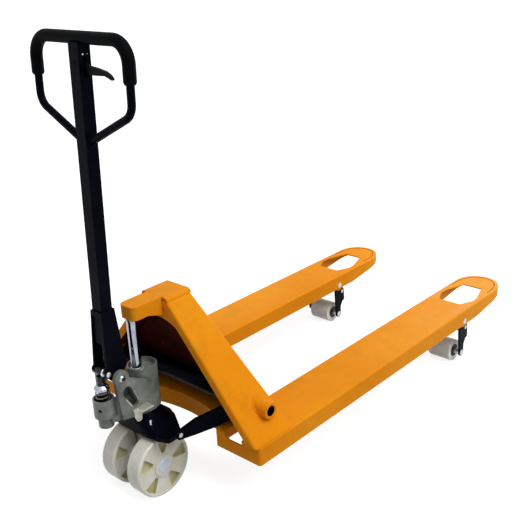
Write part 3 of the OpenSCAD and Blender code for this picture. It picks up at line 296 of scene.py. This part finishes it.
slotFinish = {"orange_paint": orangePaint, "black_paint": blackPaint, "pump_paint": pumpPaint,
              "chrome": chromePlate, "zinc_plate": zincPlate, "bare_steel": bareSteel,
              "spring_steel": springSteel, "grip_rubber": gripRubber, "trigger_plastic": triggerPlastic,
              "wheel_nylon": wheelNylon, "hub_plastic": hubPlastic, "roller_nylon": rollerNylon,
              "seal_rubber": sealRubber}
for nodeName, node in cadNodes.items():
    node.data.materials.clear()
    node.data.materials.append(slotFinish[slotOf[nodeName]])
# Nodes whose surface was worked another way than the rest of their slot
workedFinish = {"gland_ring": satinSteel, "release_lever": satinSteel, "push_roller": oiledSteel,
                "push_roller_pin": oiledSteel, "plunger": oiledSteel, "control_rod": oiledSteel,
                "trigger_pin": blackPaint}
for nodeName, finish in workedFinish.items():
    cadNodes[nodeName].data.materials[0] = finish
print("materials made")


# Edges sharper than sharp are broken, and facets flatter than flat are joined; both are in degrees
edgeLook = {"sharp": 28, "flat": 0.6, "merge": 0.00001, "steps": 2}


def dressNode(nodeName, edge, other=None, picks=None):
    # A merged copy of a node with bevelled edges; faces that picks() chooses take the other material
    mesh = cadNodes[nodeName].data.copy()
    mesh.name = nodeName + "_dressed"
    sharp = math.radians(edgeLook["sharp"])
    shape = bmesh.new()
    shape.from_mesh(mesh)
    bmesh.ops.remove_doubles(shape, verts=shape.verts, dist=edgeLook["merge"])
    bmesh.ops.dissolve_limit(shape, angle_limit=math.radians(edgeLook["flat"]), verts=shape.verts,
                             edges=shape.edges, delimit={"NORMAL"})
    if other:
        mesh.materials.append(other)
        for face in shape.faces:
            face.material_index = int(bool(picks(face.calc_center_median(), face.normal)))
    for face in shape.faces:
        face.smooth = True
    for seam in shape.edges:
        seam.smooth = len(seam.link_faces) == 2 and seam.calc_face_angle(0) < sharp
    shape.to_mesh(mesh)
    shape.free()
    if mesh.attributes.get("custom_normal"):
        mesh.attributes.remove(mesh.attributes["custom_normal"])
    piece = bpy.data.objects.new(nodeName + "_dressed", mesh)
    scene.collection.objects.link(piece)
    if edge:
        bevel = piece.modifiers.new("brokenEdges", "BEVEL")
        bevel.width = edge
        bevel.segments = edgeLook["steps"]
        bevel.limit_method = "ANGLE"
        bevel.angle_limit = sharp
        bevel.harden_normals = True
        bevel.use_clamp_overlap = True
    bakePiece(piece)
    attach(piece, bodyOf[nodeName])
    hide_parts(nodeName)
    return piece


def bakePiece(piece):
    # Turns the modifiers' result into the piece's own plain mesh
    evaluated = piece.evaluated_get(bpy.context.evaluated_depsgraph_get())
    mesh = bpy.data.meshes.new_from_object(evaluated)
    piece.modifiers.clear()
    mesh.name = piece.name
    piece.data = mesh


# Width of the broken edge on each node that needs nothing else
edgeWidth = {
    "fork_left": 0.0008, "fork_right": 0.0008, "head_plate": 0.0012, "horn": 0.0012, "cross_plate": 0.001,
    "seat_plate": 0.0016, "pump_casting": 0.0016, "yoke": 0.0012, "drawbar_tube": 0.0018,
    "rocker_arm_left": 0.0012, "rocker_arm_right": 0.0012, "rocker_lug_left": 0.001,
    "rocker_lug_right": 0.001, "link_left": 0.0009, "link_right": 0.0009, "release_lever": 0.0006,
    "trigger": 0.0014, "gland_ring": 0.0005, "spring_cap": 0.0008, "hub_cap_left": 0.0012,
    "hub_cap_right": 0.0012, "load_roller_left": 0.0012, "load_roller_right": 0.0012,
    "steer_axle": 0.001, "drawbar_pivot_pin": 0.0012, "seat_pins": 0.001, "thrust_pad": 0.0008}
for nodeName, edge in edgeWidth.items():
    dressNode(nodeName, edge)

# The plunger spring, which in the jack shortens with the stroke from its foot in the barrel: dressed without
# a bevel, with a mesh of its own
spring = dressNode("plunger_spring", 0)
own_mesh(spring)

# Only the outer sides of the frame's head keep the full orange; faces that look down, or at the plate
# opposite, take the painted shade
innerLook = {"legEdge": 0.0009, "plateEdge": 0.0008, "legDown": 0.12, "plateInwards": 0.3}
for nodeName in ("leg_left", "leg_right"):
    dressNode(nodeName, innerLook["legEdge"], innerShadePaint,
              lambda centre, normal: normal.z < -innerLook["legDown"])
dressNode("front_gusset", innerLook["plateEdge"], innerShadePaint,
          lambda centre, normal: normal.x > innerLook["plateInwards"])
dressNode("back_plate", innerLook["plateEdge"], innerShadePaint,
          lambda centre, normal: normal.x < -innerLook["plateInwards"])

# The bores of the tube ends, whose faces look at the axis, are bare and greasy
bossLook = {"edge": 0.0008, "towardsAxis": 0.002}
bossAxis = {name: sum(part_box(name), Vector()) / 2 for name in ("pivot_boss_left", "pivot_boss_right")}
for nodeName, axis in bossAxis.items():
    dressNode(nodeName, bossLook["edge"], darkBore,
              lambda centre, normal: normal.dot(Vector((axis.x - centre.x, 0, axis.z - centre.z)))
              > bossLook["towardsAxis"])

# Steer wheels: turned rim and spokes, as-cast pockets between the hub and the rim, which take the painted
# shade
wheelLook = {"edge": 0.0012, "rim": 0.009, "hub": 0.029, "face": 0.0045}


def makeWheel(nodeName):
    low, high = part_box(nodeName)
    axis, radius = (low + high) / 2, (high.z - low.z) / 2

    def inPocket(centre, normal):
        reach = math.hypot(centre.x - axis.x, centre.z - axis.z)
        deep = min(centre.y - low.y, high.y - centre.y) > wheelLook["face"]
        return deep and wheelLook["hub"] < reach < radius - wheelLook["rim"]
    dressNode(nodeName, wheelLook["edge"], pocketShadeNylon, inPocket)


makeWheel("wheel_left")
makeWheel("wheel_right")
print("dressed pieces made")


def startTree(name, sizes):
    # An empty tree with a mesh input, one named input for each size, and a mesh output
    tree = bpy.data.node_groups.new(name, "GeometryNodeTree")
    tree.interface.new_socket("Geometry", in_out="INPUT", socket_type="NodeSocketGeometry")
    for label, value in sizes.items():
        kind = "NodeSocketMaterial" if isinstance(value, bpy.types.Material) else (
            "NodeSocketInt" if isinstance(value, int) else "NodeSocketFloat")
        tree.interface.new_socket(label, in_out="INPUT", socket_type=kind)
    tree.interface.new_socket("Geometry", in_out="OUTPUT", socket_type="NodeSocketGeometry")
    return tree, addNode(tree, "NodeGroupInput"), addNode(tree, "NodeGroupOutput")


def endTree(tree, result, shape, finish):
    # Every tree ends as a real, smooth mesh in its finish
    solid = addNode(tree, "GeometryNodeRealizeInstances", {"Geometry": shape})
    smooth = addNode(tree, "GeometryNodeSetShadeSmooth", {0: solid.outputs["Geometry"]})
    finished = addNode(tree, "GeometryNodeSetMaterial", {"Geometry": smooth.outputs[0], "Material": finish})
    tree.links.new(finished.outputs["Geometry"], result.inputs["Geometry"])
    return tree


def growPiece(name, tree, sizes, points, edges, body, radii=None):
    # Runs a tree on a wire of points and keeps the result as a plain mesh
    mesh = bpy.data.meshes.new(name)
    mesh.from_pydata(points, edges, [])
    if radii:
        mesh.attributes.new("headRadius", "FLOAT", "POINT").data.foreach_set("value", radii)
    piece = bpy.data.objects.new(name, mesh)
    scene.collection.objects.link(piece)
    modifier = piece.modifiers.new(name, "NODES")
    modifier.node_group = tree
    for item in tree.interface.items_tree:
        if item.in_out == "INPUT" and item.name in sizes:
            modifier[item.identifier] = sizes[item.name]
    bakePiece(piece)
    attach(piece, body)
    return piece


def wireEdges(count, closed=False):
    # Joins each point of a wire to the next
    return [(i, i + 1) for i in range(count - 1)] + ([(count - 1, 0)] if closed else [])


# The drawbar leans a few degrees towards the forks, and its tube's centre line runs in front of the pivot
pivotLow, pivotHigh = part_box("drawbar_pivot_pin")
barFrame = {"pivot": (pivotLow + pivotHigh) / 2, "lean": 2.73, "tube": -0.0109}


def onBar(x, y, z):
    # A point given in the drawbar's own frame
    lean = math.radians(barFrame["lean"])
    return (barFrame["pivot"].x + x * math.cos(lean) + z * math.sin(lean), y,
            barFrame["pivot"].z - x * math.sin(lean) + z * math.cos(lean))


# The grip: one rubber sleeve that follows the loop's top bar and draws in at its ends
gripLook = {"Sleeve Radius": 0.0149, "Round": 0.005, "Pinch": 0.82, "Sides": 28}
gripPath = {"halfWidth": 0.171, "end": 0.744, "top": 0.836, "corner": 0.05, "cornerSteps": 12, "rings": 180}


def makeSleeveTree():
    tree, given, result = startTree("grip_sleeve", {**gripLook, "Rubber": gripRubber})
    line = addNode(tree, "GeometryNodeMeshToCurve", {"Mesh": given.outputs["Geometry"]})
    steps = addNode(tree, "GeometryNodeResampleCurve",
                    {"Curve": line.outputs["Curve"], "Count": gripPath["rings"]}, mode="COUNT")
    run = addNode(tree, "GeometryNodeSplineLength")
    along = addNode(tree, "GeometryNodeSplineParameter")
    rest = addNode(tree, "ShaderNodeMath", {0: run.outputs["Length"], 1: along.outputs["Length"]},
                   operation="SUBTRACT")
    nearest = addNode(tree, "ShaderNodeMath", {0: along.outputs["Length"], 1: rest.outputs[0]},
                      operation="MINIMUM")
    girth = addNode(tree, "ShaderNodeMapRange",
                    {"Value": nearest.outputs[0], "From Min": 0.0, "From Max": given.outputs["Round"],
                     "To Min": given.outputs["Pinch"], "To Max": 1.0}, interpolation_type="SMOOTHSTEP")
    ring = addNode(tree, "GeometryNodeCurvePrimitiveCircle",
                   {"Resolution": given.outputs["Sides"], "Radius": given.outputs["Sleeve Radius"]})
    sleeve = addNode(tree, "GeometryNodeCurveToMesh",
                     {"Curve": steps.outputs["Curve"], "Profile Curve": ring.outputs["Curve"],
                      "Scale": girth.outputs["Result"], "Fill Caps": True})
    return endTree(tree, result, sleeve.outputs["Mesh"], given.outputs["Rubber"])


def makeGrip():
    half, corner, top = gripPath["halfWidth"], gripPath["corner"], gripPath["top"]
    side = [(half, gripPath["end"])]
    for step in range(gripPath["cornerSteps"] + 1):
        turn = math.radians(step * 90 / gripPath["cornerSteps"])
        side.append((half - corner + corner * math.cos(turn), top - corner + corner * math.sin(turn)))
    points = [onBar(barFrame["tube"], y, z) for y, z in side + [(-y, z) for y, z in reversed(side)]]
    grip = growPiece("grip_sleeve", makeSleeveTree(), {**gripLook, "Rubber": gripRubber}, points,
                     wireEdges(len(points)), bodyOf["grip"])
    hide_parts("grip")


# A hand-laid fillet weld: overlapping ripples of uneven size along a path, smaller at the loop
weldLook = {"Bead Radius": 0.0034, "Ripple Step": 0.0026, "Unevenness": 0.22, "Seed": 7}
loopBead = {**weldLook, "Bead Radius": 0.0026}


def makeWeldTree():
    tree, given, result = startTree("weld_bead", {**weldLook, "Paint": orangePaint})
    line = addNode(tree, "GeometryNodeMeshToCurve", {"Mesh": given.outputs["Geometry"]})
    steps = addNode(tree, "GeometryNodeResampleCurve",
                    {"Curve": line.outputs["Curve"], "Length": given.outputs["Ripple Step"]}, mode="LENGTH")
    ripple = addNode(tree, "GeometryNodeMeshIcoSphere",
                     {"Radius": given.outputs["Bead Radius"], "Subdivisions": 2})
    smallest = addNode(tree, "ShaderNodeMath", {0: 1.0, 1: given.outputs["Unevenness"]}, operation="SUBTRACT")
    size = addNode(tree, "FunctionNodeRandomValue",
                   {2: smallest.outputs[0], 3: 1.0, "Seed": given.outputs["Seed"]}, data_type="FLOAT")
    beads = addNode(tree, "GeometryNodeInstanceOnPoints",
                    {"Points": steps.outputs["Curve"], "Instance": ripple.outputs["Mesh"],
                     "Scale": size.outputs[1]})
    return endTree(tree, result, beads.outputs["Instances"], given.outputs["Paint"])


# The leg's outer face starts near the fork's outer edge and runs inwards by lean for each metre that it rises
legFace = {"outer": 0.3405, "lean": 0.8746, "rear": -0.404}
footWeld = {"inset": 0.0035, "proud": 0.0005, "frontGap": 0.012, "rearGap": 0.004, "seed": 3}
bossWeld = {"radius": 0.0225, "proud": 0.0005, "steps": 40, "seed": 5}
loopWeld = {"up": 0.6045, "side": 0.018, "halfDepth": 0.0098, "halfHeight": 0.0112, "steps": 28,
            "seed": 9}


def makeWelds():
    tree = makeWeldTree()
    orange = {**weldLook, "Paint": orangePaint}
    black = {**loopBead, "Paint": blackPaint}
    for side, name in ((1, "left"), (-1, "right")):
        # Foot of the leg along the fork's outer edge
        legFront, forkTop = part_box("leg_" + name)[0].x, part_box("fork_" + name)[1].z
        foot = [(x, side * (legFace["outer"] - footWeld["inset"]), forkTop + footWeld["proud"])
                for x in (legFront + footWeld["frontGap"], legFace["rear"] - footWeld["rearGap"])]
        growPiece("weld_foot_" + name, tree, {**orange, "Seed": footWeld["seed"] + side}, foot, wireEdges(2),
                  "frame")
        # Round the tube end where it leaves the leg's slanted face
        boss, ring = bossAxis["pivot_boss_" + name], []
        for step in range(bossWeld["steps"]):
            turn = math.tau * step / bossWeld["steps"]
            x, z = boss.x + bossWeld["radius"] * math.cos(turn), boss.z + bossWeld["radius"] * math.sin(turn)
            y = side * (legFace["outer"] - (z - forkTop) * legFace["lean"] + bossWeld["proud"])
            ring.append((x, y, z))
        growPiece("weld_boss_" + name, tree, {**orange, "Seed": bossWeld["seed"] + side}, ring,
                  wireEdges(len(ring), True), "frame")
        # Lower ends of the handle loop on the shaft
        loop = []
        for step in range(loopWeld["steps"]):
            turn = math.tau * step / loopWeld["steps"]
            x = barFrame["tube"] + loopWeld["halfDepth"] * math.cos(turn)
            z = loopWeld["up"] + loopWeld["halfHeight"] * math.sin(turn)
            loop.append(onBar(x, side * loopWeld["side"], z))
        growPiece("weld_loop_" + name, tree, {**black, "Seed": loopWeld["seed"] + side}, loop,
                  wireEdges(len(loop), True), "drawbar")


# The rim of each toe stands round the top plate, with a thin seam along the plate's edge, painted darker as
# the shade of its groove
toeSeam = {**weldLook, "Bead Radius": 0.0021, "Ripple Step": 0.0017, "Unevenness": 0.12}
toeLook = {"nose": 0.124, "inset": 0.0125, "sunk": 0.0006, "steps": 24, "power": 3, "seed": 11}


def makeToeSeams():
    tree = makeWeldTree()
    seam = {**toeSeam, "Paint": seamShadePaint}
    for side, name in ((1, "left"), (-1, "right")):
        low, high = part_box("fork_" + name)
        half, length = (high.y - low.y) / 2 - toeLook["inset"], toeLook["nose"] - toeLook["inset"]
        rim = []
        for step in range(-toeLook["steps"], toeLook["steps"] + 1):
            along = 1 - (step / toeLook["steps"]) ** 2
            across = math.copysign(half * math.sqrt(1 - along ** toeLook["power"]), step)
            rim.append((high.x - toeLook["nose"] + length * along, (low.y + high.y) / 2 + across,
                        high.z - toeLook["sunk"]))
        growPiece("seam_toe_" + name, tree, {**seam, "Seed": toeLook["seed"] + side}, rim,
                  wireEdges(len(rim)), "frame")


# Domed ends of screws and of the roller's pin, and the washer beside the roller, in the drawbar's own frame
pinHeadLook = {"Crown": 0.3, "Sides": 20, "Rings": 10}
barHeads = {"loopScrew": {"place": (-0.0153, -0.0172, 0.8004), "radius": 0.0024},
            "smallLoopScrew": {"place": (-0.0031, -0.0172, 0.8007), "radius": 0.0014},
            "rollerPinEnd": {"place": (-0.0320, -0.0328, 0.0205), "radius": 0.0072},
            "rollerWasher": {"place": (-0.0320, -0.0138, 0.0205), "radius": 0.0112}}


def makePinHeadTree():
    tree, given, result = startTree("pin_heads", {**pinHeadLook, "Plating": zincPlate})
    dome = addNode(tree, "GeometryNodeMeshUVSphere",
                   {"Segments": given.outputs["Sides"], "Rings": given.outputs["Rings"], "Radius": 1.0})
    radius = addNode(tree, "GeometryNodeInputNamedAttribute", {"Name": "headRadius"}, data_type="FLOAT")
    height = addNode(tree, "ShaderNodeMath", {0: radius.outputs["Attribute"], 1: given.outputs["Crown"]},
                     operation="MULTIPLY")
    scale = addNode(tree, "ShaderNodeCombineXYZ",
                    {"X": radius.outputs["Attribute"], "Y": height.outputs[0],
                     "Z": radius.outputs["Attribute"]})
    heads = addNode(tree, "GeometryNodeInstanceOnPoints",
                    {"Points": given.outputs["Geometry"], "Instance": dome.outputs["Mesh"],
                     "Scale": scale.outputs["Vector"]})
    return endTree(tree, result, heads.outputs["Instances"], given.outputs["Plating"])


def makePinHeads():
    heads = barHeads.values()
    growPiece("pin_heads_drawbar", makePinHeadTree(), {**pinHeadLook, "Plating": zincPlate},
              [onBar(*head["place"]) for head in heads], [], "drawbar",
              [head["radius"] for head in heads])


# Two thin bright zinc strips beside the slot in each cheek of the casting, a painted highlight on the slot's
# edges: x and z of each strip's two ends
slotHighlightLook = {"cheek": 0.043, "sunk": 0.001, "proud": 0.001, "wide": 0.0036, "edge": 0.0003,
           "lines": (((-0.6809, 0.3305), (-0.6694, 0.2983)), ((-0.7074, 0.3153), (-0.6909, 0.2881)))}


# Bright zinc strips that stand in for the highlight on the slot's edges: painted highlight
def makeSlotHighlightStrips():
    shape = bmesh.new()
    for side in (1, -1):
        for (x0, z0), (x1, z1) in slotHighlightLook["lines"]:
            run = Vector((x1 - x0, 0, z1 - z0))
            across = Vector((run.z, 0, -run.x)).normalized() * slotHighlightLook["wide"] / 2
            out = Vector((0, side * (slotHighlightLook["proud"] + slotHighlightLook["sunk"]), 0))
            rim = []
            for x, z, sign in ((x0, z0, 1), (x1, z1, 1), (x1, z1, -1), (x0, z0, -1)):
                rim.append(Vector((x, side * (slotHighlightLook["cheek"] - slotHighlightLook["sunk"]), z)) + across * sign)
            foot = [shape.verts.new(p) for p in rim]
            top = [shape.verts.new(p + out) for p in rim]
            shape.faces.new(top)
            shape.faces.new(foot[::-1])
            for i in range(4):
                j = (i + 1) % 4
                shape.faces.new((foot[i], foot[j], top[j], top[i]))
    bmesh.ops.recalc_face_normals(shape, faces=shape.faces)
    bmesh.ops.bevel(shape, geom=shape.edges[:], offset=slotHighlightLook["edge"], segments=edgeLook["steps"],
                    affect="EDGES")
    mesh = bpy.data.meshes.new("slot_highlight_strips")
    shape.to_mesh(mesh)
    shape.free()
    mesh.materials.append(zincPlate)
    lips = bpy.data.objects.new("slot_highlight_strips", mesh)
    scene.collection.objects.link(lips)
    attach(lips, bodyOf["pump_casting"])


makeGrip()
makeWelds()
makeToeSeams()
makePinHeads()
makeSlotHighlightStrips()
print("grip, welds, seams, pin heads and slot lips made")


def seenRays(tree):
    # 1 for the camera's own rays and for what a mirror or glass shows, 0 for the light that falls on the jack
    path = addNode(tree, "ShaderNodeLightPath")
    mirrored = addNode(tree, "ShaderNodeMath",
                       {0: path.outputs["Is Glossy Ray"], 1: path.outputs["Is Transmission Ray"]},
                       operation="MAXIMUM")
    return addNode(tree, "ShaderNodeMath", {0: path.outputs["Is Camera Ray"], 1: mirrored.outputs[0]},
                   operation="MAXIMUM").outputs[0]


# The floor is mid grey for the light that bounces off it; the lift is what the camera and mirrors see on top
floorLook = {"size": 60.0, "colour": "#B4B4B4", "roughness": 0.9, "lift": 0.8}


def makeFloor():
    mesh = bpy.data.meshes.new("floor")
    half = floorLook["size"] / 2
    mesh.from_pydata([(-half, -half, 0), (half, -half, 0), (half, half, 0), (-half, half, 0)], [],
                     [(0, 1, 2, 3)])
    floor = bpy.data.objects.new("floor", mesh)
    scene.collection.objects.link(floor)
    material, tree, shader = startMaterial("pale_studio_floor", Roughness=floorLook["roughness"],
                                           Specular_IOR_Level=0.0,
                                           Base_Color=linear(floorLook["colour"]))[:3]
    lift = addNode(tree, "ShaderNodeEmission", {"Color": (1, 1, 1, 1), "Strength": floorLook["lift"]})
    lifted = addNode(tree, "ShaderNodeAddShader", {0: shader.outputs[0], 1: lift.outputs[0]})
    choice = addNode(tree, "ShaderNodeMixShader",
                     {0: seenRays(tree), 1: shader.outputs[0], 2: lifted.outputs[0]})
    tree.links.new(choice.outputs[0], tree.nodes["Material Output"].inputs["Surface"])
    mesh.materials.append(material)


# Broad soft lamps far away: heading and height of each in degrees, as seen from the jack
lampLook = {
    "key": {"heading": 276, "height": 54, "strength": 1.9, "spread": 40, "away": 6},
    "fill": {"heading": 225, "height": 75, "strength": 0.45, "spread": 60, "away": 6}}


def makeLamp(name, values):
    data = bpy.data.lights.new(name, "SUN")
    data.energy = values["strength"]
    data.angle = math.radians(values["spread"])
    lamp = bpy.data.objects.new(name, data)
    scene.collection.objects.link(lamp)
    heading, height = math.radians(values["heading"]), math.radians(values["height"])
    towards = Vector((math.cos(height) * math.cos(heading), math.cos(height) * math.sin(heading),
                      math.sin(height)))
    turn = towards.to_track_quat("Z", "Y").to_matrix().to_4x4()
    lamp.matrix_world = Matrix.Translation(towards * values["away"]) @ turn


# A softbox beyond the toes, which lays a sheen on the top of the right fork
softboxLook = {"place": (1.72, 0.1, 0.94), "aim": (0.4, -0.32, 0.2), "size": 0.8, "power": 6.5}


def makeSoftbox():
    data = bpy.data.lights.new("softbox", "AREA")
    data.energy = softboxLook["power"]
    data.size = softboxLook["size"]
    lamp = bpy.data.objects.new("softbox", data)
    scene.collection.objects.link(lamp)
    away = Vector(softboxLook["place"]) - Vector(softboxLook["aim"])
    turn = away.to_track_quat("Z", "Y").to_matrix().to_4x4()
    lamp.matrix_world = Matrix.Translation(softboxLook["place"]) @ turn


worldLook = {"soft": "#F4F6FA", "strength": 0.34}


def makeWorld():
    # The camera and mirror rays see a plain white surround; the rest is soft light
    world = bpy.data.worlds.new("studio")
    scene.world = world
    world.use_nodes = True
    tree = world.node_tree
    tree.nodes.clear()
    soft = addNode(tree, "ShaderNodeBackground",
                   {"Color": linear(worldLook["soft"]), "Strength": worldLook["strength"]})
    white = addNode(tree, "ShaderNodeBackground", {"Color": (1, 1, 1, 1), "Strength": 1.0})
    both = addNode(tree, "ShaderNodeMixShader", {0: seenRays(tree), 1: soft.outputs[0], 2: white.outputs[0]})
    addNode(tree, "ShaderNodeOutputWorld", {"Surface": both.outputs[0]})


# The camera's place, its heading, dip and roll in degrees, and its lens and sensor in millimetres
cameraLook = {"place": (-1.821, -1.598, 1.415), "heading": 43.34, "dip": 21.59, "roll": 3.10,
              "lens": 57.66, "sensor": 36.0, "reach": 60.0}


def makeCamera():
    data = bpy.data.cameras.new("camera")
    data.lens = cameraLook["lens"]
    data.sensor_width = cameraLook["sensor"]
    data.clip_end = cameraLook["reach"]
    camera = bpy.data.objects.new("camera", data)
    scene.collection.objects.link(camera)
    heading, dip, roll = (math.radians(cameraLook[k]) for k in ("heading", "dip", "roll"))
    forward = Vector((math.cos(dip) * math.cos(heading), math.cos(dip) * math.sin(heading), -math.sin(dip)))
    level = Vector((math.sin(heading), -math.cos(heading), 0.0))
    down = forward.cross(level)
    right = level * math.cos(roll) + down * math.sin(roll)
    up = -(down * math.cos(roll) - level * math.sin(roll))
    turn = Matrix((right, up, -forward)).transposed().to_4x4()
    camera.matrix_world = Matrix.Translation(cameraLook["place"]) @ turn
    scene.camera = camera


makeFloor()
for lampName, lampValues in lampLook.items():
    makeLamp(lampName, lampValues)
makeSoftbox()
makeWorld()
makeCamera()
scene.view_settings.view_transform = "Standard"
print("studio made")
